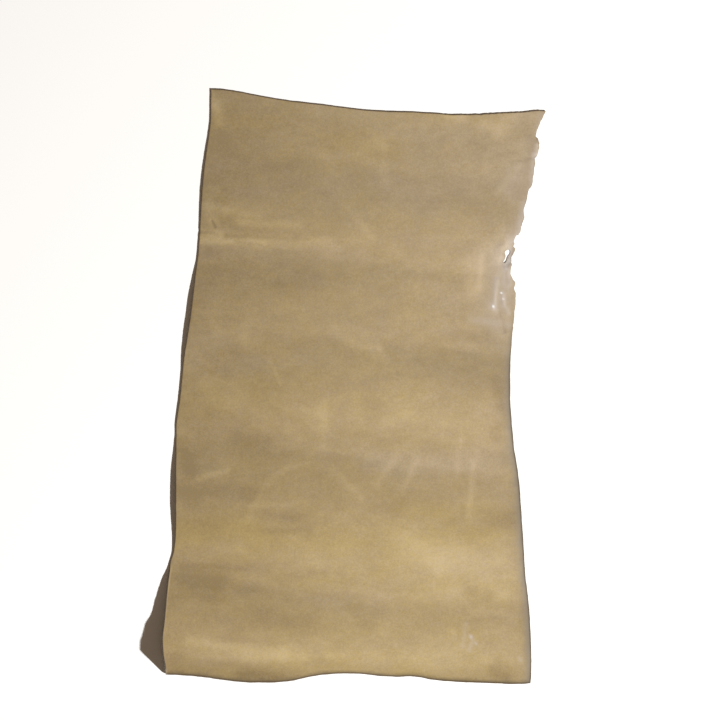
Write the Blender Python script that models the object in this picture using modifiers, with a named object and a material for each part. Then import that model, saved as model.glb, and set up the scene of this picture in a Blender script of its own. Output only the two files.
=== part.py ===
"""A leather hide: one sheet of leather laid out flat, grain side up.

The hide's length runs along Y and its width along X. Its flesh side rests on z = 0 in the hollows
between low folds that run from side to side. The front margin curls up a little, and the left margin
is turned up on edge at the front corner. The right edge is the ragged one, with nicks and a torn hole.

The tables are in millimetres, measured in plan from a point near the middle of the hide.
"""

import math
from collections import namedtuple

import bmesh
import bpy
import numpy as np
from mathutils import Vector

MM = 0.001

THICKNESS = 1.8
LEATHER_COLOUR = (0.376, 0.283, 0.141, 1.0)
LEATHER_ROUGHNESS = 0.45

# The four edges of the cut hide in plan.
SidePoint = namedtuple("SidePoint", "y x")
LEFT_EDGE = [
    SidePoint(-425.5, -274.5),
    SidePoint(-410, -277.0),
    SidePoint(-393, -280.3),
    SidePoint(-371, -281.5),
    SidePoint(-345, -278.8),
    SidePoint(-301, -275.5),
    SidePoint(-264, -271.0),
    SidePoint(-242, -265.1),
    SidePoint(-213, -262.2),
    SidePoint(-65, -261.8),
    SidePoint(-21, -256.3),
    SidePoint(38, -250.4),
    SidePoint(97, -241.0),
    SidePoint(155, -234.2),
    SidePoint(207, -228.3),
    SidePoint(281, -223.9),
    SidePoint(323, -220.2),
    SidePoint(347, -216.8),
    SidePoint(370, -213.4),
    SidePoint(391, -211.2),
    SidePoint(436.3, -210.5),
]
RIGHT_EDGE = [
    SidePoint(-438.2, 259.5),
    SidePoint(-425, 260.6),
    SidePoint(-404, 261.0),
    SidePoint(-375, 260.0),
    SidePoint(-342, 258.7),
    SidePoint(-301, 254.9),
    SidePoint(-281, 252.1),
    SidePoint(-239, 249.3),
    SidePoint(-198, 246.8),
    SidePoint(-157, 244.2),
    SidePoint(-136, 242.2),
    SidePoint(-116, 239.5),
    SidePoint(-95, 235.9),
    SidePoint(-54, 231.9),
    SidePoint(-20, 229.6),
    SidePoint(8, 229.5),
    SidePoint(49, 231.0),
    SidePoint(89, 234.6),
    SidePoint(119, 237.4),
    SidePoint(148, 237.2),
    SidePoint(167, 231.0),
    SidePoint(190, 234.6),
    SidePoint(205, 238.7),
    SidePoint(220, 242.0),
    SidePoint(241, 250.4),
    SidePoint(273, 255.2),
    SidePoint(303, 262.2),
    SidePoint(332, 265.1),
    SidePoint(354, 265.9),
    SidePoint(376, 269.6),
    SidePoint(391, 275.5),
    SidePoint(404, 282.0),
]
EndPoint = namedtuple("EndPoint", "x y")
BACK_EDGE = [
    EndPoint(-210.5, 436.3),
    EndPoint(-196, 435.7),
    EndPoint(-171, 432.3),
    EndPoint(-130, 424.4),
    EndPoint(-100, 419.5),
    EndPoint(-68, 415.5),
    EndPoint(-42, 412.6),
    EndPoint(-6, 407.9),
    EndPoint(20, 404.9),
    EndPoint(50, 403.4),
    EndPoint(84, 402.4),
    EndPoint(118, 400.7),
    EndPoint(150, 398.4),
    EndPoint(180, 398.8),
    EndPoint(221, 400.9),
    EndPoint(245, 402.0),
    EndPoint(271, 404.6),
    EndPoint(282.0, 404.0),
]
FRONT_EDGE = [
    EndPoint(-274.5, -425.5),
    EndPoint(-252, -426.5),
    EndPoint(-221, -429.2),
    EndPoint(-186, -434.2),
    EndPoint(-150, -437.1),
    EndPoint(-115, -436.8),
    EndPoint(-94, -434.9),
    EndPoint(-62, -428.2),
    EndPoint(-42, -425.2),
    EndPoint(-9, -423.8),
    EndPoint(12, -424.5),
    EndPoint(36, -427.0),
    EndPoint(62, -428.6),
    EndPoint(81, -427.9),
    EndPoint(97, -429.2),
    EndPoint(118, -433.3),
    EndPoint(150, -435.8),
    EndPoint(203, -438.1),
    EndPoint(245, -439.4),
    EndPoint(259.5, -438.2),
]

# Each fold is a low arch that runs from the left edge to the right. Its crest goes through three
# places, at the left edge, the middle and the right edge, and rises this much there. It is level for
# `level` each side of the crest, and comes down to the floor within `fall_back` and `fall_front`.
Fold = namedtuple(
    "Fold",
    "y_left y_middle y_right rise_left rise_middle rise_right level fall_back fall_front",
)
FOLDS = [
    Fold(290, 244, 222, 1.0, 6.2, 4.1, 2, 76, 62),
    Fold(100, 108, 141, 3.8, 2.9, 0.3, 13, 72, 67),
    Fold(0, 5, -25, 0.6, 6.9, 7.5, 2, 66, 73),
    Fold(-166, -199, -231, 5.0, 9.0, 8.2, 2, 95, 86),
    Fold(-338, -370, -383, 6.0, 6.0, 3.6, 2, 63, 53),
]
ARCH = 1.3  # 1 for arches that meet in a sharp hollow, 2 for a smooth wave

# Around the torn hole the leather lies pressed down onto the floor, within about this radius.
PressedPlace = namedtuple("PressedPlace", "x y radius")
PRESSED = PressedPlace(226, 192, 22)

# How far the front end of the hide curls up, at places across it, and how far in from the edge the
# curl starts.
EndCurl = namedtuple("EndCurl", "x rise")
FRONT_CURL = [
    EndCurl(-274, 1.5),
    EndCurl(-183, 4.5),
    EndCurl(-124, 4.5),
    EndCurl(-62, 1.0),
    EndCurl(-6, 2.5),
    EndCurl(68, 3.0),
    EndCurl(141, 5.0),
    EndCurl(215, 5.5),
    EndCurl(261, 3.5),
]
FRONT_CURL_REACH = 34

# The left margin's cross-section, from the cut edge inward: a straight strip `stand` wide, tilted
# up by `angle` degrees, then a bend down to the level part.
Turn = namedtuple("Turn", "y angle stand")
LEFT_TURN = [
    Turn(-422, 96, 26.0),
    Turn(-412, 96, 25.6),
    Turn(-401, 96, 24.0),
    Turn(-371, 96, 14.1),
    Turn(-344, 95, 5.3),
    Turn(-312, 86, 2.4),
    Turn(-290, 75, 2.0),
    Turn(-277, 58, 1.6),
    Turn(-266, 14, 1.5),
    Turn(-258, 0, 1.5),
    Turn(438, 0, 1.5),
]
BEND_LENGTH = 4.0
# The front corner is cut off askew: the top of the turned-up strip starts this far behind its foot.
CORNER_CUT = 10.0
CORNER_CUT_REACH = 60.0

# What is missing from the ragged edge: tapered cuts, each from a narrow round end to a wider one,
# and two more that meet in the torn hole.
Cut = namedtuple("Cut", "name x y radius to_x to_y to_radius")
CUTS = [
    Cut("nick_at_corner", 263.5, 364.0, 1.2, 273.0, 369.0, 3.2),
    Cut("nick_high", 259.0, 286.0, 1.5, 266.0, 279.0, 5.0),
    Cut("nick_middle", 240.0, 219.0, 1.8, 249.0, 216.0, 5.0),
    Cut("nick_low", 233.8, 204.5, 1.2, 243.0, 206.5, 3.2),
    Cut("hole_back_half", 226.6, 197.0, 3.7, 224.6, 190.0, 1.5),
    Cut("hole_front_half", 224.6, 190.0, 1.5, 222.6, 184.9, 3.7),
]
CUT_SIDES = 12
CUT_HALF_HEIGHT = 30

# The sheet is a grid. The rows are closer together in the front margin, and the columns in the left
# margin's bend and right beside it. The last two are shares of the width beside the bend.
FRONT_MARGIN_ROWS = [0, 5, 11, 18, 26, 36]
ROWS_BEHIND = 66
STAND_COLUMNS = 2
BEND_COLUMNS = 4
COLUMNS_BESIDE = 24
STRIP_BESIDE_BEND = 0.006
STRIP_BY_RIGHT_EDGE = 0.012


def smooth_through(places, values, at):
    """Values read from a smooth curve through the points of a table, which never overshoots them."""
    places = np.asarray(places, float)
    values = np.asarray(values, float)
    rates = np.diff(values) / np.diff(places)
    before, after = rates[:-1], rates[1:]
    same_way = before * after > 0
    slopes = np.concatenate([rates[:1], np.zeros(len(before)), rates[-1:]])
    slopes[1:-1][same_way] = 2 * before[same_way] * after[same_way] / (before + after)[same_way]
    piece = np.clip(np.searchsorted(places, at) - 1, 0, len(places) - 2)
    length = places[piece + 1] - places[piece]
    t = np.clip((at - places[piece]) / length, 0, 1)
    ease_in = t * t * (3 - 2 * t)
    return (
        (1 - ease_in) * values[piece]
        + ease_in * values[piece + 1]
        + length * t * (1 - t) * ((1 - t) * slopes[piece] - t * slopes[piece + 1])
    )


def read_table(table, column, by, at):
    """One column of a table, read smoothly at places given in another column's terms."""
    rows = sorted(table, key=lambda row: getattr(row, by))
    return smooth_through([getattr(row, by) for row in rows], [getattr(row, column) for row in rows], at)


def arch(distance, level, fall_back, fall_front):
    """1 on a fold's crest, down to 0 at its feet. distance is how far back of the crest a place is."""
    fall = np.where(distance > 0, fall_back, fall_front)
    down = np.clip((np.abs(distance) - level) / fall, 0, 1)
    return np.cos(math.pi / 2 * down) ** ARCH


def height(x, y):
    """How high the flesh side stands above the floor, before the left margin is turned up."""
    left = read_table(LEFT_EDGE, "x", "y", y)
    right = read_table(RIGHT_EDGE, "x", "y", y)
    across = np.clip((x - left) / (right - left), 0, 1)
    total = np.zeros_like(x)
    for fold in FOLDS:
        crest = smooth_through([0, 0.5, 1], [fold.y_left, fold.y_middle, fold.y_right], across)
        rise = smooth_through([0, 0.5, 1], [fold.rise_left, fold.rise_middle, fold.rise_right], across)
        total += rise * arch(y - crest, fold.level, fold.fall_back, fold.fall_front)
    total *= 1 - np.exp(-((x - PRESSED.x) ** 2 + (y - PRESSED.y) ** 2) / PRESSED.radius**2)
    from_front = y - read_table(FRONT_EDGE, "y", "x", x)
    near = np.clip(1 - from_front / FRONT_CURL_REACH, 0, 1)
    return total + read_table(FRONT_CURL, "rise", "x", x) * near * near


def row_places():
    """Where the rows of the grid are, as shares of the length."""
    length = BACK_EDGE[0].y - FRONT_EDGE[0].y
    margin = np.array(FRONT_MARGIN_ROWS) / length
    behind = np.linspace(margin[-1], 1, ROWS_BEHIND + 1)
    return np.concatenate([margin, behind[1:]])


def column_places():
    """Where the columns beside the left margin's bend are, as shares of the width there."""
    inner = np.linspace(STRIP_BESIDE_BEND, 1 - STRIP_BY_RIGHT_EDGE, COLUMNS_BESIDE - 1)
    return np.concatenate([[0], inner, [1]])


def left_margin(y):
    """The points of the left margin's section, from the cut edge inward: (inward, up) of each."""
    angle = np.radians(read_table(LEFT_TURN, "angle", "y", y))
    stand = read_table(LEFT_TURN, "stand", "y", y)
    steps = [(angle, stand / STAND_COLUMNS)] * STAND_COLUMNS
    steps += [
        (angle * (1 - (step + 0.5) / BEND_COLUMNS), BEND_LENGTH / BEND_COLUMNS)
        for step in range(BEND_COLUMNS)
    ]
    inward = np.cumsum([0] + [length * math.cos(tilt) for tilt, length in steps])
    fallen = np.cumsum([0] + [length * math.sin(tilt) for tilt, length in steps])
    return inward, fallen[-1] - fallen


def sheet_point(row_place, column, row_section):
    """One grid point of the flesh side, before the folds: its x and y, and how far it is turned up.

    row_section is the left margin's section at this row.
    """
    left_y = FRONT_EDGE[0].y + row_place * (BACK_EDGE[0].y - FRONT_EDGE[0].y)
    right_y = FRONT_EDGE[-1].y + row_place * (BACK_EDGE[-1].y - FRONT_EDGE[-1].y)
    inward, up = row_section
    margin_columns = STAND_COLUMNS + BEND_COLUMNS
    left_x = float(read_table(LEFT_EDGE, "x", "y", left_y))
    if column < margin_columns:
        near_front = max(1 - (left_y - FRONT_EDGE[0].y) / CORNER_CUT_REACH, 0)
        askew = CORNER_CUT * near_front * up[column] / up[0] if near_front else 0
        return left_x + inward[column], left_y + askew, up[column]
    across = column_places()[column - margin_columns]
    start_x = left_x + inward[-1]
    right_x = float(read_table(RIGHT_EDGE, "x", "y", right_y))
    front_x = FRONT_EDGE[0].x + across * (FRONT_EDGE[-1].x - FRONT_EDGE[0].x)
    back_x = BACK_EDGE[0].x + across * (BACK_EDGE[-1].x - BACK_EDGE[0].x)
    front_bow = float(read_table(FRONT_EDGE, "y", "x", front_x))
    front_bow -= FRONT_EDGE[0].y + across * (FRONT_EDGE[-1].y - FRONT_EDGE[0].y)
    back_bow = float(read_table(BACK_EDGE, "y", "x", back_x))
    back_bow -= BACK_EDGE[0].y + across * (BACK_EDGE[-1].y - BACK_EDGE[0].y)
    x = start_x + across * (right_x - start_x)
    y = left_y + across * (right_y - left_y) + (1 - row_place) * front_bow + row_place * back_bow
    return x, y, 0.0


def shape_sheet(mesh):
    """Moves the points of a flat grid onto the flesh side of the hide."""
    rows = row_places()
    columns = STAND_COLUMNS + BEND_COLUMNS + COLUMNS_BESIDE + 1
    sections = [
        left_margin(FRONT_EDGE[0].y + place * (BACK_EDGE[0].y - FRONT_EDGE[0].y)) for place in rows
    ]
    points = np.array(
        [
            sheet_point(place, column, section)
            for place, section in zip(rows, sections)
            for column in range(columns)
        ]
    )
    x, y, turned_up = points[:, 0], points[:, 1], points[:, 2]
    z = height(x, y) + turned_up
    for vertex, place in zip(mesh.vertices, np.column_stack([x, y, z]) * MM):
        vertex.co = place


def make_leather():
    material = bpy.data.materials.new("leather")
    material.use_nodes = True
    surface = material.node_tree.nodes["Principled BSDF"]
    surface.inputs["Base Color"].default_value = LEATHER_COLOUR
    surface.inputs["Roughness"].default_value = LEATHER_ROUGHNESS
    surface.inputs["Metallic"].default_value = 0.0
    return material


def move_to(obj, collection):
    for other in list(obj.users_collection):
        other.objects.unlink(obj)
    collection.objects.link(obj)


def make_hide(collection):
    """The flesh side as an open grid, with the leather's thickness built up from it."""
    rows = len(row_places())
    columns = STAND_COLUMNS + BEND_COLUMNS + COLUMNS_BESIDE + 1
    bpy.ops.mesh.primitive_grid_add(x_subdivisions=columns - 1, y_subdivisions=rows - 1, size=1)
    hide = bpy.context.object
    hide.name = "hide"
    move_to(hide, collection)
    shape_sheet(hide.data)
    hide.data.shade_smooth()
    hide.data.materials.append(make_leather())
    solidify = hide.modifiers.new("leather_thickness", "SOLIDIFY")
    solidify.thickness = THICKNESS * MM
    solidify.offset = 1
    solidify.use_even_offset = True
    solidify.use_quality_normals = True
    return hide


def make_cutter(cut, collection):
    """A tapered upright block with round ends, as a cutter."""
    mesh = bpy.data.meshes.new(cut.name)
    shape = bmesh.new()
    for x, y, radius in ((cut.x, cut.y, cut.radius), (cut.to_x, cut.to_y, cut.to_radius)):
        for side in range(CUT_SIDES):
            angle = 2 * math.pi * side / CUT_SIDES
            for z in (-CUT_HALF_HEIGHT, CUT_HALF_HEIGHT):
                place = Vector((x + radius * math.cos(angle), y + radius * math.sin(angle), z))
                shape.verts.new(place * MM)
    hull = bmesh.ops.convex_hull(shape, input=shape.verts)
    unused = {item for item in hull["geom_interior"] if isinstance(item, bmesh.types.BMVert)}
    bmesh.ops.delete(shape, geom=list(unused), context="VERTS")
    bmesh.ops.recalc_face_normals(shape, faces=shape.faces)
    shape.to_mesh(mesh)
    shape.free()
    cutter = bpy.data.objects.new(cut.name, mesh)
    collection.objects.link(cutter)
    cutter.hide_render = True
    cutter.display_type = "WIRE"
    return cutter


def cut_from(hide, cutter):
    boolean = hide.modifiers.new(cutter.name, "BOOLEAN")
    boolean.operation = "DIFFERENCE"
    boolean.solver = "EXACT"
    boolean.object = cutter
    cutter.parent = hide


def centre_on_floor(hide):
    """Moves the hide and its cutters so that the middle of its box is over the origin, on z = 0."""
    graph = bpy.context.evaluated_depsgraph_get()
    mesh = hide.evaluated_get(graph).to_mesh()
    places = np.array([vertex.co[:] for vertex in mesh.vertices])
    low, high = places.min(axis=0), places.max(axis=0)
    hide.location = (-(low[0] + high[0]) / 2, -(low[1] + high[1]) / 2, -low[2])


def main():
    for obj in list(bpy.data.objects):
        bpy.data.objects.remove(obj, do_unlink=True)
    parts = bpy.data.collections.new("leather_hide")
    cutters = bpy.data.collections.new("cutters")
    for collection in (parts, cutters):
        bpy.context.scene.collection.children.link(collection)
    hide = make_hide(parts)
    for cut in CUTS:
        cut_from(hide, make_cutter(cut, cutters))
    centre_on_floor(hide)


main()
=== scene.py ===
"""A leather hide laid out flat, grain side up, on a plain pale floor, seen from straight above.

Every table is in millimetres, in plan, from the same point near the middle of the hide that the
solid was drawn from. The sheet is cut flat first, as a net of triangles inside its outline, and is
then laid on its folds and turned up at the left margin.
"""

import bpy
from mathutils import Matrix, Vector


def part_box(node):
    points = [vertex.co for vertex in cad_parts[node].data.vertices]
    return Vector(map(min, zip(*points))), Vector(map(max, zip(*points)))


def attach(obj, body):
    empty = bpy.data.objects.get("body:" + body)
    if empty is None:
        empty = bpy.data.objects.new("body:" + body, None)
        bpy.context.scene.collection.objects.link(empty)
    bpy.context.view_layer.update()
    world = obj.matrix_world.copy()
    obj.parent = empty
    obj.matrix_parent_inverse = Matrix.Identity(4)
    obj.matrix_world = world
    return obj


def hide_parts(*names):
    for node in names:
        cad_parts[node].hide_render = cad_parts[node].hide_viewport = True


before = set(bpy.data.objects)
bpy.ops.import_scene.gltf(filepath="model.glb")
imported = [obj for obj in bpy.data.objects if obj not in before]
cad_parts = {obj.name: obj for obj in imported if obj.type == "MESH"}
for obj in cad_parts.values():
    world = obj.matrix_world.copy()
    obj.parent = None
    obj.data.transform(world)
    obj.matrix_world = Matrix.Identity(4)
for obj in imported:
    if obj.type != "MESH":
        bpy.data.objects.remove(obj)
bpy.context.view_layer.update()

import math
from collections import namedtuple

import bpy
import numpy as np
from mathutils import Vector, kdtree, noise
from mathutils.geometry import delaunay_2d_cdt

MM = 0.001
THICKNESS = 1.8

# Half the hide's width and length, which the slow changes from side to side are measured by.
HALF_WIDTH = 270
HALF_LENGTH = 430

# ---------------------------------------------------------------- the outline
# The two long sides run from the front to the back, and the two ends from the left to the right.
SidePoint = namedtuple("SidePoint", "y x")
LEFT_EDGE = [
    SidePoint(-425.5, -274.5),
    SidePoint(-410, -277.0),
    SidePoint(-393, -280.3),
    SidePoint(-371, -281.5),
    SidePoint(-345, -278.8),
    SidePoint(-301, -275.5),
    SidePoint(-264, -271.0),
    SidePoint(-242, -265.1),
    SidePoint(-213, -262.2),
    SidePoint(-65, -261.8),
    SidePoint(-21, -256.3),
    SidePoint(38, -250.4),
    SidePoint(97, -241.0),
    SidePoint(155, -234.2),
    SidePoint(207, -228.3),
    SidePoint(281, -223.9),
    SidePoint(323, -220.2),
    SidePoint(347, -216.8),
    SidePoint(370, -213.4),
    SidePoint(391, -211.2),
    SidePoint(436.3, -210.5),
]
RIGHT_EDGE = [
    SidePoint(-438.2, 259.5),
    SidePoint(-425, 260.6),
    SidePoint(-404, 261.0),
    SidePoint(-375, 260.0),
    SidePoint(-342, 258.7),
    SidePoint(-301, 254.9),
    SidePoint(-281, 252.1),
    SidePoint(-239, 249.3),
    SidePoint(-198, 246.8),
    SidePoint(-157, 244.2),
    SidePoint(-136, 242.2),
    SidePoint(-116, 239.5),
    SidePoint(-95, 235.9),
    SidePoint(-54, 231.9),
    SidePoint(-20, 229.6),
    SidePoint(8, 229.5),
    SidePoint(49, 231.0),
    SidePoint(88, 234.4),
    SidePoint(104, 235.8),
    SidePoint(118, 237.7),
    SidePoint(135, 238.0),
    SidePoint(143, 235.4),
    SidePoint(151, 237.2),
    SidePoint(157, 233.4),
    SidePoint(165, 229.9),
    SidePoint(175, 231.2),
    SidePoint(177.5, 232.5),
    SidePoint(181, 231.3),
    SidePoint(188, 231.6),
    SidePoint(194, 234.6),
    SidePoint(201, 236.9),
    SidePoint(204.7, 234.2),
    SidePoint(208.7, 236.0),
    SidePoint(212, 235.0),
    SidePoint(221.4, 238.0),
    SidePoint(222.2, 242.0),
    SidePoint(237, 247.0),
    SidePoint(249, 250.4),
    SidePoint(256, 249.4),
    SidePoint(270, 253.0),
    SidePoint(289, 257.4),
    SidePoint(292.5, 260.4),
    SidePoint(298, 262.5),
    SidePoint(320, 265.0),
    SidePoint(328, 266.8),
    SidePoint(335, 266.0),
    SidePoint(337.5, 268.6),
    SidePoint(345, 271.0),
    SidePoint(357, 272.5),
    SidePoint(363.4, 270.9),
    SidePoint(366.5, 268.0),
    SidePoint(370, 268.0),
    SidePoint(384, 272.6),
    SidePoint(395, 277.8),
    SidePoint(404, 282.0),
]
EndPoint = namedtuple("EndPoint", "x y")
BACK_EDGE = [
    EndPoint(-210.5, 436.3),
    EndPoint(-196, 435.7),
    EndPoint(-171, 432.3),
    EndPoint(-130, 424.4),
    EndPoint(-100, 419.5),
    EndPoint(-68, 415.5),
    EndPoint(-42, 412.6),
    EndPoint(-6, 407.9),
    EndPoint(20, 404.9),
    EndPoint(50, 403.4),
    EndPoint(84, 402.4),
    EndPoint(118, 400.7),
    EndPoint(150, 398.4),
    EndPoint(180, 398.8),
    EndPoint(221, 400.9),
    EndPoint(245, 402.0),
    EndPoint(271, 404.6),
    EndPoint(282.0, 404.0),
]
FRONT_EDGE = [
    EndPoint(-274.5, -425.5),
    EndPoint(-252, -426.5),
    EndPoint(-221, -429.2),
    EndPoint(-186, -434.2),
    EndPoint(-150, -437.1),
    EndPoint(-115, -436.8),
    EndPoint(-94, -434.9),
    EndPoint(-62, -428.2),
    EndPoint(-42, -425.2),
    EndPoint(-9, -423.8),
    EndPoint(12, -424.5),
    EndPoint(36, -427.0),
    EndPoint(62, -428.6),
    EndPoint(81, -427.9),
    EndPoint(97, -429.2),
    EndPoint(118, -433.3),
    EndPoint(150, -435.8),
    EndPoint(203, -438.1),
    EndPoint(245, -439.4),
    EndPoint(259.5, -438.2),
]
# The edge of the torn hole, all the way round it.
HolePoint = namedtuple("HolePoint", "x y")
HOLE_EDGE = [
    HolePoint(226.4, 200.3),
    HolePoint(222.6, 197.8),
    HolePoint(222.0, 194.7),
    HolePoint(223.2, 191.1),
    HolePoint(222.7, 188.1),
    HolePoint(221.4, 184.9),
    HolePoint(219.5, 182.3),
    HolePoint(220.5, 180.4),
    HolePoint(222.7, 180.6),
    HolePoint(224.6, 183.7),
    HolePoint(225.4, 187.4),
    HolePoint(226.4, 190.3),
    HolePoint(228.8, 193.0),
    HolePoint(230.4, 196.4),
    HolePoint(229.3, 199.4),
]
# How far the cut edges wander from those lines, and how much more the ragged part of the right edge
# does, which lies behind RAGGED_FROM and to the right of RAGGED_SIDE.
HAND_CUT = 0.35
RAGGED = 0.6
RAGGED_FROM = 72
RAGGED_SIDE = 135
Wave = namedtuple("Wave", "size seed share")
CUT_WAVES = [Wave(14, 3.1, 1), Wave(5, 8.7, 0.6)]
RAGGED_WAVES = [Wave(4.5, 5.3, 1), Wave(2.4, 1.9, 0.5)]

# ---------------------------------------------------------------- the folds
# Each fold's crest passes these places, at the left edge, the middle and the right edge, and rises
# this much there. It is level for a little way on both sides of the crest, and falls over these
# lengths behind it and in front of it. The places and rises at the left edge were chosen one by one.
# The rest comes from a least-squares fit to the photograph's shading.
Fold = namedtuple(
    "Fold",
    "y_left y_middle y_right rise_left rise_middle rise_right level fall_back fall_front",
)
FOLDS = [
    Fold(290, 244, 222, 1.0, 6.2, 4.1, 2, 76, 62),
    Fold(100, 108, 141, 3.8, 2.9, 0.3, 13, 72, 67),
    Fold(0, 5, -25, 0.6, 6.9, 7.5, 2, 66, 73),
    Fold(-166, -199, -231, 5.0, 9.0, 8.2, 2, 95, 86),
    Fold(-338, -370, -383, 6.0, 6.0, 3.6, 2, 63, 53),
]
ARCH = 1.3  # 1 for arches that meet in a sharp hollow, 2 for a smooth wave

# Around the torn hole the leather is pressed down onto the floor.
PressedPlace = namedtuple("PressedPlace", "x y radius")
PRESSED = PressedPlace(226, 192, 22)

# How far the front end curls up, at places across it, and how far in from the edge the curl starts.
EndCurl = namedtuple("EndCurl", "x rise")
FRONT_CURL = [
    EndCurl(-274, 1.5),
    EndCurl(-183, 4.5),
    EndCurl(-124, 4.5),
    EndCurl(-62, 1.0),
    EndCurl(-6, 2.5),
    EndCurl(68, 3.0),
    EndCurl(141, 5.0),
    EndCurl(215, 5.5),
    EndCurl(261, 3.5),
]
FRONT_CURL_REACH = 34

# The left margin's section from the cut edge inward: a straight strip `stand` wide, turned up by
# `angle` degrees, then a bend down to the level part.
Turn = namedtuple("Turn", "y angle stand")
LEFT_TURN = [
    Turn(-422, 96, 26.0),
    Turn(-412, 96, 25.6),
    Turn(-401, 96, 24.0),
    Turn(-371, 96, 14.1),
    Turn(-344, 95, 5.3),
    Turn(-312, 86, 2.4),
    Turn(-290, 75, 2.0),
    Turn(-277, 58, 1.6),
    Turn(-266, 14, 1.5),
    Turn(-258, 0, 1.5),
    Turn(438, 0, 1.5),
]
BEND_LENGTH = 4.0
CORNER_CUT = 10.0  # how much further back the turned-up strip's top starts than its foot

# Creases and wrinkles: soft ridges from one place to another, this wide and this high. A trough has
# a negative rise.
Crease = namedtuple("Crease", "x y to_x to_y width rise")
CREASES = [
    # the crease across the back third, from the left edge
    Crease(-229, 227, -205, 224, 1.6, -0.5),
    Crease(-205, 224, -90, 217, 3.0, -0.3),
    Crease(-90, 217, 60, 206, 4.0, -0.2),
    Crease(-210, 243, -205, 234, 1.5, -0.5),
    # wrinkles that run down from the torn hole
    Crease(210, 155, 205, 113, 2.8, 0.35),
    Crease(219, 135, 220, 119, 2.4, 0.35),
    Crease(220, 119, 227, 107, 2.6, 0.3),
    Crease(184, 192, 182, 148, 5.0, 0.3),
    Crease(226, 172, 229, 150, 3.5, 0.3),
    Crease(213, 108, 221, 80, 2.6, -0.25),
    Crease(232, 329, 264, 335, 2.2, -0.25),
    # dome-shaped crease left of the middle
    Crease(-158, -198, -149, -176, 4.5, 0.2),
    Crease(-149, -176, -138, -157, 4.5, 0.2),
    Crease(-138, -157, -122, -135, 4.5, 0.2),
    Crease(-122, -135, -101, -120, 4.5, 0.2),
    Crease(-101, -120, -72, -113, 4.5, 0.2),
    Crease(-72, -113, -42, -121, 4.5, 0.2),
    Crease(-42, -121, -20, -132, 4.5, 0.2),
    Crease(-20, -132, 9, -165, 4.5, 0.2),
    Crease(-153, -175, -71, -172, 4.0, 0.2),
    Crease(-230, -136, -186, -124, 3.5, 0.25),
    # slanting and upright creases right of the middle
    Crease(32, -145, 62, -101, 5.0, 0.2),
    Crease(71, -151, 91, -107, 5.0, 0.2),
    Crease(150, -130, 156, -66, 4.0, 0.2),
    Crease(168, -186, 175, -113, 4.0, 0.2),
    # short crescent near the middle
    Crease(-38, 99, -21, 70, 4.5, 0.15),
    Crease(-21, 70, 9, 58, 4.5, 0.2),
    Crease(9, 58, 35, 57, 4.5, 0.2),
    Crease(37, 52, 46, 23, 4.0, 0.15),
    # the curled tab near the back corner
    Crease(267, 342, 268, 356, 2.6, 0.6),
]
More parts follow.
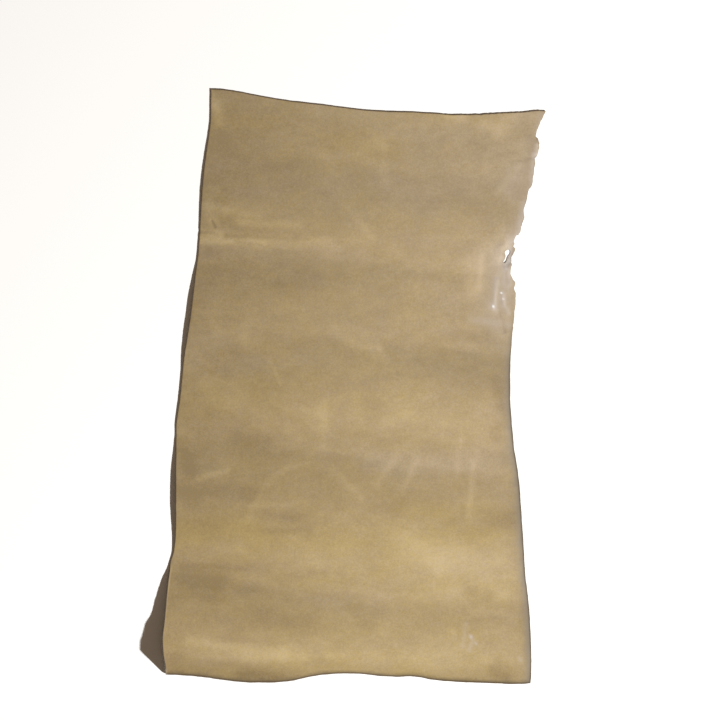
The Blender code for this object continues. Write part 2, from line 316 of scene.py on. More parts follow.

# Soft patches and streaks where the leather is lighter (up) or darker (down) in tone. Their places
# and widths were chosen one by one. Most of their tones come from a least-squares fit to the
# photograph.
# Many of them are painted light and shade: lighter where a fold's slope faces the lamp, darker in
# the troughs of creases and on the curled front edge and tab, and lighter or darker by the torn hole
# to cancel the shading there.
Mark = namedtuple("Mark", "x y to_x to_y width tone")
TONE_AND_PAINTED_SHADING = [
    # painted shade on the back of the curled tab near the back corner
    Mark(269, 364, 272.5, 356, 2, -1.2),
    # the back third
    Mark(-212, 432, -206, 412, 7, 0.65),
    Mark(-200, 427, -70, 405, 10, 0.15),
    Mark(-70, 405, 60, 393, 10, 0.15),
    Mark(60, 393, 270, 395, 10, 0.12),
    Mark(-200, 415, -199, 388, 9, 0.73),
    Mark(141, 400, 159, 397, 9, 0.88),
    Mark(215, 376, 245, 406, 12, 0.48),
    Mark(194, 385, 212, 379, 10, 0.59),
    Mark(32, 362, 44, 353, 7, 0.4),
    Mark(168, 362, 186, 344, 13, -0.21),
    Mark(259, 366, 258, 320, 6, -0.38),
    Mark(-194, 384, -189, 281, 12, -0.14),
    Mark(-47, 347, -35, 317, 10, 0.29),
    Mark(233, 329, 264, 335, 2, -0.61),
    Mark(127, 314, 178, 336, 3, 0.09),
    Mark(44, 320, 47, 297, 9, 0.41),
    Mark(244, 325, 212, 284, 5, 0.33),
    Mark(68, 288, 171, 288, 12, 0.21),
    Mark(144, 288, 183, 273, 18, -0.27),
    # along the crease across the back third: painted light where the fold's slope in front of it
    # faces the lamp, and painted shade in the crease's trough
    Mark(-217, 261, -127, 259, 9, 0.35),
    Mark(-214, 264, -209, 244, 10, 0.46),
    Mark(-190, 256, -138, 250, 6, 0.31),
    Mark(-6, 270, 29, 217, 6, 0.18),
    Mark(-15, 267, 24, 217, 4, 0.25),
    Mark(-168, 241, -80, 235, 7, 0.52),
    Mark(-208.6, 242, -204.7, 234, 1.8, -1.2),
    Mark(-222, 225, -197, 222, 6, 0.88),
    Mark(-229, 227, -206, 225, 1.8, -0.81),
    Mark(-206, 225, -20, 212, 1.8, -0.1),
    Mark(-227, 213, -136, 211, 6, 1.1),
    Mark(-136, 211, -35, 213, 6, 0.5),
    Mark(-174, 211, -136, 208, 3, -0.45),
    Mark(32, 207, 53, 207, 3, -0.14),
    Mark(-143, 204, -25, 204, 6, 0.34),
    Mark(82, 200, 171, 200, 9, -0.16),
    Mark(-214.5, 197.5, -214, 197, 6, -0.6),
    Mark(-227, 182, -175, 182, 6, 0.21),
    Mark(-194, 173, -80, 173, 13, -0.1),
    Mark(-80, 167, -13, 161, 10, -0.21),
    Mark(-124, 151, -65, 151, 13, -0.34),
    # by the torn hole: painted light and shade that cancel the shading of the pressed-down, thinned
    # leather, pale streaks along the wrinkles' ridges, and painted shade in a wrinkle's trough
    Mark(218, 211, 218, 210, 4, -0.55),
    Mark(217, 206, 222, 206, 4, -0.4),
    Mark(212, 205, 214, 198, 6, -0.7),
    Mark(231, 201, 228, 177, 5, 0.9),
    Mark(222, 176, 221, 172, 4, 0.9),
    Mark(213, 176, 213, 168, 8, 0.25),
    Mark(185, 194, 184, 146, 10, 0.46),
    Mark(175, 177, 175, 138, 15, 0.58),
    Mark(210, 155, 205, 113, 3, 0.62),
    Mark(213, 103, 213, 99, 3, -0.4),
    Mark(221, 84, 222, 78, 3, -0.5),
    # around the middle
    Mark(-212, 126, -138, 96, 18, 0.12),
    Mark(-206, 96, -200, 82, 10, 0.13),
    Mark(-144, 82, -106, 71, 5, -0.17),
    Mark(-161, 88, -161, 58, 7, 0.25),
    Mark(122, 71, 200, 71, 9, -0.39),
    Mark(-38, 99, -21, 70, 6, 0.26),
    Mark(-21, 70, 9, 58, 7, 0.45),
    Mark(9, 58, 35, 57, 7, 0.6),
    Mark(13, 67, 34, 67, 4, 0.3),
    Mark(-234, 82, -230, 52, 12, 0.1),
    Mark(205, 49, 215, 49, 7, -0.19),
    Mark(37, 52, 46, 23, 4, 0.18),
    Mark(144, 26, 215, 49, 19, -0.14),
    Mark(-35, 23, 68, 26, 7, 0.22),
    Mark(-124, 35, -108, 5, 4, 0.4),
    Mark(-108, 5, -107, 5, 4, 0.8),
    Mark(-222, 8, -183, -21, 21, 0.45),
    Mark(209, 1, 224, -36, 12, -0.55),
    Mark(24, -26, 27, -29, 18, -0.44),
    Mark(-103, -33, -50, -36, 9, 0.14),
    Mark(-80, -21, -35, -58, 15, 0.1),
    Mark(44, -54, 82, -39, 9, 0.32),
    Mark(112, -51, 171, -58, 7, 0.1),
    Mark(-44, -24, -44, -92, 8, 0.36),
    Mark(205, -66, 208, -80, 12, -0.3),
    # in front of the middle
    Mark(-256, -80, -227, -80, 12, 0.28),
    Mark(-171, -80, -136, -86, 16, -0.57),
    Mark(150, -130, 156, -66, 5, 0.23),
    Mark(-103, -95, -80, -107, 12, -0.27),
    Mark(-253, -86, -242, -122, 13, -0.45),
    Mark(32, -145, 62, -101, 7, 0.41),
    Mark(71, -151, 91, -107, 7, 0.35),
    Mark(-230, -136, -186, -124, 5, 0.72),
    Mark(-158, -198, -149, -176, 5, 0.22),
    Mark(-149, -176, -138, -157, 5, 0.22),
    Mark(-138, -157, -122, -135, 5, 0.22),
    Mark(-122, -135, -101, -120, 5, 0.26),
    Mark(-101, -120, -72, -113, 5, 0.26),
    Mark(-72, -113, -42, -121, 5, 0.26),
    Mark(-42, -121, -20, -132, 5, 0.28),
    Mark(-20, -132, 9, -165, 5, 0.3),
    Mark(168, -186, 175, -113, 5, 0.43),
    Mark(-250, -157, -153, -157, 13, -0.41),
    Mark(-153, -175, -71, -172, 5, 0.25),
    Mark(35, -169, 56, -186, 12, -0.22),
    Mark(24, -183, 72, -183, 12, -0.15),
    Mark(-130, -191, -85, -195, 10, -0.36),
    Mark(200, -198, 236, -198, 13, -0.38),
    Mark(-134, -213, -65, -213, 7, -0.36),
    Mark(-247, -232, -168, -236, 12, 0.15),
    Mark(74, -228, 127, -266, 24, 0.47),
    Mark(-136, -251, -50, -251, 13, 0.13),
    Mark(127, -251, 215, -257, 21, 0.31),
    Mark(-252, -267, -124, -267, 7, -0.33),
    Mark(-65, -275, -16, -275, 4, -0.28),
    # the front third
    Mark(-250, -286, -194, -286, 16, -0.44),
    Mark(215, -284, 236, -301, 10, -0.15),
    Mark(-168, -301, -136, -301, 12, -0.32),
    Mark(171, -304, 197, -310, 10, -0.57),
    Mark(-264, -301, -245, -319, 15, 0.22),
    Mark(24, -312, 219, -312, 15, 0.33),
    Mark(-209, -310, -203, -328, 12, -0.25),
    Mark(171, -331, 215, -334, 6, 0.26),
    Mark(-109, -338, -6, -342, 12, 0.18),
    Mark(-141, -342, -68, -351, 16, -0.46),
    Mark(141, -354, 147, -366, 4, 0.27),
    Mark(-172, -375, -65, -375, 6, -0.13),
    # these five: painted light where a fold's front slope faces the lamp
    Mark(-239, -379, -106, -393, 10, 0.7),
    Mark(127, -393, 156, -387, 9, 0.15),
    Mark(-91, -393, 32, -401, 10, 0.08),
    Mark(-242, -400, -75, -400, 7, 0.42),
    Mark(-35, -397, 97, -404, 9, 0.21),
    Mark(186, -404, 200, -407, 9, 0.23),
    # these three: painted shade where the front edge curls up away from the lamp
    Mark(215, -404, 237, -416, 9, -0.32),
    Mark(204, -420, 224, -428, 9, -0.7),
    Mark(-168, -425, -80, -431, 9, -0.63),
    # along the left edge
    Mark(-247, 38, -268, -257, 15, 0.19),
    # along the right edge
    Mark(217, 60, 214, -20, 12, -0.12),
    Mark(214, -20, 236, -200, 12, -0.12),
    Mark(236, -200, 246, -420, 12, -0.12),
    # painted shade along the right margin
    Mark(253, -257, 258, -404, 7, -0.9),
]

# Painted sheen: where the grain is painted greyer and lighter for the sky's reflection on it, and
# made less rough; also the scuffs near the front right corner. Where the amount is over 1, it is a
# painted white highlight.
SheenAndScuff = namedtuple("SheenAndScuff", "x y to_x to_y width amount")
SHEEN_AND_SCUFFS = [
    # painted sheen by the torn hole
    SheenAndScuff(222, 188, 221, 132, 24, 0.4),
    SheenAndScuff(227, 178, 226, 150, 9, 0.35),
    SheenAndScuff(229, 218, 228, 210, 6, 0.35),
    SheenAndScuff(210, 158, 206, 116, 4, 0.45),
    SheenAndScuff(203, 116, 207, 113, 5, 0.4),
    SheenAndScuff(218, 136, 220, 119, 4, 0.45),
    SheenAndScuff(220, 119, 228, 106, 4, 0.35),
    SheenAndScuff(172, 98, 212, 91, 6, 0.25),
    SheenAndScuff(225, 90, 229, 88, 6, 0.35),
    SheenAndScuff(200, 105, 222, 60, 20, 0.15),
    # the next three: painted white glints on the wrinkles
    SheenAndScuff(216.6, 136.3, 217.2, 136.3, 1.5, 1.25),
    SheenAndScuff(219.8, 127.8, 219.8, 127.2, 1.4, 0.85),
    SheenAndScuff(205, 117.2, 205, 115.8, 1.3, 1.1),
    SheenAndScuff(231, 200, 229, 184, 5, 0.8),
    SheenAndScuff(223, 178, 224, 172, 4, 0.5),
    # painted sheen along the ragged edge
    SheenAndScuff(264, 352, 238, 232, 16, 0.15),
    SheenAndScuff(265, 340, 261, 288, 4, 0.5),
    SheenAndScuff(261, 288, 252, 266, 4, 0.5),
    SheenAndScuff(252, 266, 243, 228, 6, 0.6),
    SheenAndScuff(243, 228, 234, 212, 5, 0.5),
    SheenAndScuff(276, 398, 270, 372, 5, 0.3),
    SheenAndScuff(238, 318, 226, 290, 14, 0.2),
    SheenAndScuff(268, 340, 269, 354, 3.5, 0.5),
    # scuffs near the front right corner
    SheenAndScuff(165, -350, 160, -384, 3.5, 0.25),
    SheenAndScuff(172, -369, 172, -370, 2.8, 0.8),
    SheenAndScuff(179, -379, 180, -380, 2.5, 0.5),
    SheenAndScuff(175, -375, 169, -390, 3.5, 0.3),
    SheenAndScuff(244, -402, 245, -404, 3.5, 0.4),
]

# Soft stretches where the leather's colour is warmer (up) or bluer (down). Their places and widths
# were chosen one by one, and how warm they are comes from such a fit, rounded.
Hue = namedtuple("Hue", "x y to_x to_y width warm")
HUES = [
    Hue(112, 406, 222, 394, 18, 0.38),
    Hue(-205, 384, -109, 384, 18, 0.15),
    Hue(-35, 362, 53, 347, 21, 0.3),
    Hue(38, 292, 149, 292, 21, -0.22),
    Hue(-168, 288, -35, 288, 18, -0.1),
    Hue(-190, 241, -80, 241, 13, 0.1),
    Hue(38, 236, 186, 236, 15, 0.1),
    Hue(-219, 200, -6, 192, 15, -0.15),
    Hue(200, 185, 215, 96, 21, -0.3),
    Hue(-80, 96, 68, 82, 21, -0.1),
    Hue(-242, 70, -153, 70, 18, -0.13),
    Hue(-242, 30, -35, 35, 13, -0.15),
    Hue(-249, -21, -65, -14, 32, 0.12),
    Hue(-227, -80, -175, -80, 18, -0.1),
    Hue(-124, -95, -6, -102, 18, -0.1),
    Hue(24, -114, 215, -114, 21, -0.42),
    Hue(68, -183, 200, -183, 15, 0.2),
    Hue(-256, -213, -153, -213, 19, 0.5),
    Hue(-138, -228, 200, -220, 21, 0.2),
    Hue(-80, -316, 38, -316, 21, -0.2),
    Hue(171, -316, 230, -331, 18, 0.1),
    Hue(-264, -375, 141, -382, 13, -0.1),
    Hue(222, -375, 247, -316, 12, -0.1),
    Hue(-256, -419, 245, -425, 9, 0.1),
]

# Along the right edge, at places from the front to the back: how wide its greyer rim of painted
# shade and sky sheen is, how strong that is, and how dark the line along the cut.
RightRim = namedtuple("RightRim", "y width grey line")
RIGHT_RIM = [
    RightRim(-437, 8.5, 0.95, 1.0),
    RightRim(-100, 8.5, 0.95, 1.0),
    RightRim(10, 8.0, 0.8, 0.9),
    RightRim(40, 7.5, 0.7, 0.8),
    RightRim(75, 6.0, 0.4, 0.5),
    RightRim(120, 4.0, 0.0, 0.4),
    RightRim(225, 4.0, 0.0, 0.3),
    RightRim(240, 4.0, 0.0, 0.7),
    RightRim(340, 4.0, 0.0, 0.7),
    RightRim(370, 4.0, 0.0, 0.3),
    RightRim(405, 4.0, 0.0, 0.4),
]

# How the leather's tone drifts across the hide, for x and y that run from -1 to 1. These values and
# the next ones started from such fits and were adjusted since.
# It is lighter toward the front right, the lamp's side, which is in part painted light.
TONE_ACROSS = 0.5
TONE_ALONG = -0.14
TONE_ACROSS_SQUARED = -0.4
TONE_TWIST = 0.18
# How its warmth does.
WARM_MIDDLE = 0.5
WARM_ACROSS = -0.175
WARM_ALONG = -0.205
WARM_ACROSS_SQUARED = -0.115
WARM_TWIST = -0.13

# ---------------------------------------------------------------- the net of triangles
# How finely the outline is read from its tables, and how far apart its points then are.
READ_STEP = 0.5
RIGHT_READ_STEP = 0.3
RAGGED_READ_STEP = 0.1
EDGE_STEP = 2.3
RAGGED_STEP = 1.2
HOLE_STEP = 1.2
# Rings of points inside the cut edges, at these distances. A point is left out where it is nearer
# to the points before it than this share of the ring's distance, or of the most that counts.
RINGS = [0.4, 1.1, 2.8]
RING_CLEAR = 0.6
RING_CLEAR_MOST = 1.6
# The points between them: close together on the left margin's bend, from the front end to BEND_TO,
# fairly close in the fine zones, and wide apart elsewhere. Each kind keeps clear of the last.
BEND_SPACING = 1.0
BEND_PAST = 2.5
BEND_TO = -235
BEND_CLEAR = 0.8
FINE_SPACING = 1.8
FINE_CLEAR = 1.1
SPACING = 3.5
COARSE_CLEAR = 2.17
Zone = namedtuple("Zone", "x to_x y to_y")
FINE_ZONES = [
    Zone(165, 245, 75, 225),  # the wrinkles by the torn hole
    Zone(-235, -60, 190, 250),  # the crease across the back third
    Zone(150, 190, -398, -345),  # the scuffs near the front right corner
]


def smooth_through(places, values, at):
    """Values read from a smooth curve through a table's points, which never overshoots them."""
    places = np.asarray(places, float)
    values = np.asarray(values, float)
    rates = np.diff(values) / np.diff(places)
    before, after = rates[:-1], rates[1:]
    same_way = before * after > 0
    slopes = np.concatenate([rates[:1], np.zeros(len(before)), rates[-1:]])
    slopes[1:-1][same_way] = 2 * before[same_way] * after[same_way] / (before + after)[same_way]
    piece = np.clip(np.searchsorted(places, at) - 1, 0, len(places) - 2)
    length = places[piece + 1] - places[piece]
    t = np.clip((at - places[piece]) / length, 0, 1)
    ease_in = t * t * (3 - 2 * t)
    return (
        (1 - ease_in) * values[piece]
        + ease_in * values[piece + 1]
        + length * t * (1 - t) * ((1 - t) * slopes[piece] - t * slopes[piece + 1])
    )


def read_table(table, column, by, at):
    """A table's column at places, read by another of its columns."""
    rows = sorted(table, key=lambda row: getattr(row, by))
    places = [getattr(row, by) for row in rows]
    return smooth_through(places, [getattr(row, column) for row in rows], at)


def arch(distance, level, fall_back, fall_front):
    """A fold's section: 1 at its crest, 0 at its feet, for distances that grow toward the back."""
    fall = np.where(distance > 0, fall_back, fall_front)
    down = np.clip((np.abs(distance) - level) / fall, 0, 1)
    return np.cos(math.pi / 2 * down) ** ARCH


def fold_height(x, y):
    """How high the flesh side stands above the floor, before the left margin is turned up."""
    left = read_table(LEFT_EDGE, "x", "y", y)
    right = read_table(RIGHT_EDGE, "x", "y", y)
    across = np.clip((x - left) / (right - left), 0, 1)
    total = np.zeros_like(x)
    for fold in FOLDS:
        crests = [fold.y_left, fold.y_middle, fold.y_right]
        rises = [fold.rise_left, fold.rise_middle, fold.rise_right]
        crest = smooth_through([0, 0.5, 1], crests, across)
        rise = smooth_through([0, 0.5, 1], rises, across)
        total += rise * arch(y - crest, fold.level, fold.fall_back, fold.fall_front)
    total *= 1 - np.exp(-((x - PRESSED.x) ** 2 + (y - PRESSED.y) ** 2) / PRESSED.radius**2)
    from_front = y - read_table(FRONT_EDGE, "y", "x", x)
    near = np.clip(1 - from_front / FRONT_CURL_REACH, 0, 1)
    return total + read_table(FRONT_CURL, "rise", "x", x) * near * near


def margin_turn(y):
    """The left margin at y: its angle in radians, the length of its straight strip, and the x where
    the level part starts."""
    angle = np.maximum(np.radians(read_table(LEFT_TURN, "angle", "y", y)), 1e-4)
    stand = read_table(LEFT_TURN, "stand", "y", y)
    inward = stand * np.cos(angle) + BEND_LENGTH / angle * np.sin(angle)
    return angle, stand, read_table(LEFT_EDGE, "x", "y", y) + inward


def cut_left(y):
    """Where the left edge is while the hide is still flat."""
    _, stand, level_from = margin_turn(y)
    return level_from - BEND_LENGTH - stand


def lay(flat):
    """Lays points of the flat cut on the folds and turns up the left margin."""
    x, y = flat[:, 0], flat[:, 1]
    angle, _, level_from = margin_turn(y)
    outward = level_from - x
    bent = np.clip(outward, 0, BEND_LENGTH)
    straight = np.maximum(outward - BEND_LENGTH, 0)
    tilt = angle * bent / BEND_LENGTH
    radius = BEND_LENGTH / angle
    over = radius * np.sin(tilt) + straight * np.cos(angle)
    up = radius * (1 - np.cos(tilt)) + straight * np.sin(angle)
    laid_x = np.where(outward > 0, level_from - over, x)
    return np.column_stack([laid_x, y, fold_height(laid_x, y) + up])


def stroke_distance(x, y, stroke):
    """How far places are from the line of a stroke."""
    start = np.array([stroke.x, stroke.y], float)
    run = np.array([stroke.to_x, stroke.to_y], float) - start
    along = ((x - start[0]) * run[0] + (y - start[1]) * run[1]) / max(run @ run, 1e-9)
    along = np.clip(along, 0, 1)
    return np.hypot(x - start[0] - along * run[0], y - start[1] - along * run[1])


def strokes(table, column, x, y):
    """The sum of a table's soft strokes at places. One that carries on from the row before it only
    adds what that one leaves."""
    total = np.zeros_like(x)
    chain = np.zeros_like(x)
    end = None
    for stroke in table:
        soft = np.exp(-((stroke_distance(x, y, stroke) / stroke.width) ** 2))
        if (stroke.x, stroke.y) != end:
            chain = np.zeros_like(x)
        total += getattr(stroke, column) * np.maximum(soft - chain, 0)
        chain = np.maximum(soft, chain)
        end = (stroke.to_x, stroke.to_y)
    return total


def wander(table, x, y):
    """The sum of a table's waves at places: smooth noise with bumps about `size` across."""
    total = np.zeros(len(x))
    for wave in table:
        places = [Vector((a / wave.size, b / wave.size, wave.seed)) for a, b in zip(x, y)]
        total += wave.share * np.array([noise.noise(place) for place in places])
    return total


def even_steps(points, step):
    """A polyline with its points spread evenly along it, its two ends kept."""
    points = np.asarray(points, float)
    lengths = np.hypot(*np.diff(points, axis=0).T)
    run = np.concatenate([[0], np.cumsum(lengths)])
    places = np.linspace(0, run[-1], max(int(round(run[-1] / step)), 2) + 1)
    return np.column_stack([np.interp(places, run, points[:, axis]) for axis in (0, 1)])


def outward_of(loop):
    """The direction out of an anticlockwise loop, at each of its points."""
    tangent = np.roll(loop, -1, axis=0) - np.roll(loop, 1, axis=0)
    tangent /= np.hypot(*tangent.T)[:, None]
    return np.column_stack([tangent[:, 1], -tangent[:, 0]])


def cut_outline():
    """The hide's outline, cut flat, anticlockwise from the front left corner."""
    y_front = np.array([LEFT_EDGE[0].y])
    corner = margin_turn(y_front)[2] - BEND_LENGTH
    y_left = np.arange(LEFT_EDGE[-1].y, LEFT_EDGE[0].y + CORNER_CUT, -READ_STEP)
    left = np.column_stack([cut_left(y_left), y_left])
    left = np.concatenate([left, np.column_stack([corner, y_front])])
    x_front = np.arange(corner[0], FRONT_EDGE[-1].x, READ_STEP)
    front = np.column_stack([x_front, read_table(FRONT_EDGE, "y", "x", x_front)])
    y_right = np.arange(RIGHT_EDGE[0].y, RAGGED_FROM, RIGHT_READ_STEP)
    right = np.column_stack([read_table(RIGHT_EDGE, "x", "y", y_right), y_right])
    y_ragged = np.arange(RAGGED_FROM, RIGHT_EDGE[-1].y, RAGGED_READ_STEP)
    ragged = np.column_stack([read_table(RIGHT_EDGE, "x", "y", y_ragged), y_ragged])
    x_back = np.arange(BACK_EDGE[-1].x, BACK_EDGE[0].x, -READ_STEP)
    back = np.column_stack([x_back, read_table(BACK_EDGE, "y", "x", x_back)])
    sides = [
        even_steps(front, EDGE_STEP),
        even_steps(right, EDGE_STEP),
        even_steps(ragged, RAGGED_STEP),
        even_steps(back, EDGE_STEP),
        even_steps(left, EDGE_STEP),
    ]
    outline = np.concatenate([side[:-1] for side in sides])
    torn = (outline[:, 0] > RAGGED_SIDE) & (outline[:, 1] > RAGGED_FROM)
    out = HAND_CUT * wander(CUT_WAVES, *outline.T)
    out += torn * RAGGED * wander(RAGGED_WAVES, *outline.T)
    return outline + outward_of(outline) * out[:, None]


def hole_outline():
    """The torn hole's edge as a closed loop."""
    corners = [(point.x, point.y) for point in HOLE_EDGE]
    return even_steps(corners + corners[:1], HOLE_STEP)[:-1]


def inside(points, loop):
    """Which points are inside a closed loop."""
    x, y = points[:, 0], points[:, 1]
    count = np.zeros(len(points), int)
    for (ax, ay), (bx, by) in zip(loop, np.roll(loop, -1, axis=0)):
        crosses = (ay > y) != (by > y)
        if by != ay:
            count += crosses & (x < (bx - ax) * (y - ay) / (by - ay) + ax)
    return count % 2 == 1


def inset(loop, distance):
    """Points inside an anticlockwise loop, or outside a clockwise one, this far from it."""
    return loop - outward_of(loop) * distance


def grid_points(x_from, x_to, y_from, y_to, x_step, y_step):
    """The points of an upright grid."""
    x, y = np.meshgrid(np.arange(x_from, x_to, x_step), np.arange(y_from, y_to, y_step))
    return np.column_stack([x.ravel(), y.ravel()])


def nearest_distance(points, others):
    """How far each point is from the nearest of the others."""
    tree = kdtree.KDTree(len(others))
    for number, (x, y) in enumerate(others):
        tree.insert((x, y, 0), number)
    tree.balance()
    return np.array([tree.find((x, y, 0))[2] for x, y in points])


def far_from(points, others, distance):
    """The points that are at least this far from all the others."""
    return points[nearest_distance(points, others) >= distance]


def cut_net():
    """The flat cut as a net: (points, triangles, how far each point is from a cut edge, how far
    it is from the torn hole)."""
    outline, hole = cut_outline(), hole_outline()
    edges = np.concatenate([outline, hole])
    points = edges
    for distance in RINGS:
        ring = np.concatenate([inset(outline, distance), inset(hole, distance)])
        ring = ring[inside(ring, outline) & ~inside(ring, hole)]
        clear = RING_CLEAR * min(distance, RING_CLEAR_MOST)
        points = np.concatenate([points, far_from(ring, points, clear)])
    low, high = outline.min(axis=0), outline.max(axis=0)
    y_bend = np.arange(low[1], BEND_TO, SPACING)
    _, _, level_from = margin_turn(y_bend)
    columns = np.arange(-BEND_LENGTH - BEND_SPACING, BEND_PAST, BEND_SPACING)
    bend = np.concatenate([np.column_stack([level_from + place, y_bend]) for place in columns])
    fine = np.concatenate([grid_points(*zone, FINE_SPACING, FINE_SPACING) for zone in FINE_ZONES])
    coarse = grid_points(low[0], high[0], low[1], high[1], SPACING, SPACING)
    for layer, clear in ((bend, BEND_CLEAR), (fine, FINE_CLEAR), (coarse, COARSE_CLEAR)):
        layer = layer[inside(layer, outline) & ~inside(layer, hole)]
        points = np.concatenate([points, far_from(layer, points, clear)])
    count = len(outline)
    loops = [(number, (number + 1) % count) for number in range(count)]
    loops += [(count + n, count + (n + 1) % len(hole)) for n in range(len(hole))]
    net = delaunay_2d_cdt([Vector(point) for point in points.tolist()], loops, [], 1, 1e-6, False)
    flat = np.array([tuple(point) for point in net[0]])
    triangles = np.array([tuple(face) for face in net[2]])
    middles = flat[triangles].mean(axis=1)
    triangles = triangles[inside(middles, outline) & ~inside(middles, hole)]
    return flat, triangles, nearest_distance(flat, edges), nearest_distance(flat, hole)


def point_normals(points, triangles):
    """The upright direction of a net at each of its points."""
    a, b, c = (points[triangles[:, corner]] for corner in range(3))
    faces = np.cross(b - a, c - a)
    normals = np.zeros_like(points)
    for corner in range(3):
        np.add.at(normals, triangles[:, corner], faces)
    return normals / np.linalg.norm(normals, axis=1)[:, None]


def cut_edges(triangles):
    """The edges that belong to one triangle only, each in its triangle's direction."""
    pairs = np.concatenate([triangles[:, [0, 1]], triangles[:, [1, 2]], triangles[:, [2, 0]]])
    keys = {tuple(pair) for pair in pairs.tolist()}
    return np.array([pair for pair in pairs.tolist() if (pair[1], pair[0]) not in keys])


def rim_directions(base, normals, pairs):
    """The direction out of the cut edge at each point on it, by the point's number."""
    outward = {}
    for a, b in pairs:
        along = base[b] - base[a]
        for point in (a, b):
            outward[point] = outward.get(point, 0) + np.cross(along, normals[point])
    return {point: direction / np.linalg.norm(direction) for point, direction in outward.items()}


# The cut edge's section from the flesh side to the grain side: how far out, and how far up as a
# share of the thickness.
RimPoint = namedtuple("RimPoint", "out up")
RIM = [RimPoint(0.22, 0.14), RimPoint(0.34, 0.5), RimPoint(0.2, 0.86)]
SHOULDER = 0.12  # how much lower the grain side is at the cut edge
SHOULDER_REACH = 0.35
THICKER = 0.2  # how much the leather's thickness varies
THICK_WAVES = [Wave(60, 1.5, 1), Wave(22, 6.5, 0.3)]
TORN_THINNER = 0.85  # the share of the thickness that is lost at the torn hole
TORN_REACH = 7.0
# How much of the cut edge's dark colour the grain side takes beside a cut: a dark line along all of
# them, a wider band along the front edge that is partly its dark cut and partly painted shade, a
# darker band along the right edge, and painted shade over the turned-up margin that hides the light
# on its bend.
LINE_DARKER = 0.88
LINE_REACH = 0.5
FRONT_CUT_AND_SHADE = 2.2
RIGHT_EDGE_DARKER = 1.1
FRONT_AND_RIGHT_REACH = 2.2
STRIP_PAINTED_SHADE = 0.53
RIGHT_RIM_REACH = 67.5  # how far in from the right edge its table still says how dark a cut is
GRAIN, CUT, FLESH = range(3)


def leather_tone(x, y):
    """How much lighter or darker the leather is at places, as tone, painted light and shade
    included.
    """
    across, along = x / HALF_WIDTH, y / HALF_LENGTH
    tone = strokes(TONE_AND_PAINTED_SHADING, "tone", x, y) + TONE_ACROSS * across + TONE_ALONG * along
    tone += TONE_ACROSS_SQUARED * across**2 + TONE_TWIST * across * along
    return tone


def warmth(x, y):
    """How warm the leather's colour is at places, from about 0 to about 1."""
    across, along = x / HALF_WIDTH, y / HALF_LENGTH
    warm = WARM_MIDDLE + WARM_ACROSS * across + WARM_ALONG * along
    warm += WARM_ACROSS_SQUARED * across**2 + WARM_TWIST * across * along
    return warm + strokes(HUES, "warm", x, y)


def painted_rim_shade_and_sheen(x, y):
    """How strong the greyer rim of painted shade and sheen along the right edge is at places."""
    from_right = read_table(RIGHT_EDGE, "x", "y", y) - x
    fade = np.exp(-((from_right / read_table(RIGHT_RIM, "width", "y", y)) ** 2))
    return read_table(RIGHT_RIM, "grey", "y", y) * fade


def edge_colour_and_painted_shade(flat, x, y, from_edge, grey):
    """How much of the cut edge's colour the grain side takes, at points of the net that now lie at
    x and y: the dark line along cuts, the band along the front edge, partly painted shade, the
    darker band along the right edge, and painted shade over the turned-up margin."""
    from_right = read_table(RIGHT_EDGE, "x", "y", y) - x
    from_front = y - read_table(FRONT_EDGE, "y", "x", x)
    line = np.where(from_right < RIGHT_RIM_REACH, read_table(RIGHT_RIM, "line", "y", y), 1)
    line *= LINE_DARKER * np.exp(-((from_edge / LINE_REACH) ** 2))
    for darker, distance in ((FRONT_CUT_AND_SHADE, from_front), (grey * RIGHT_EDGE_DARKER, from_right)):
        line = np.maximum(line, np.minimum(darker * np.exp(-((distance / FRONT_AND_RIGHT_REACH) ** 2)), 1))
    angle, _, level_from = margin_turn(y)
    turned = np.clip((level_from - flat[:, 0]) / BEND_LENGTH, 0, 1) * np.minimum(angle, 1)
    return np.maximum(line, STRIP_PAINTED_SHADE * np.sqrt(turned))


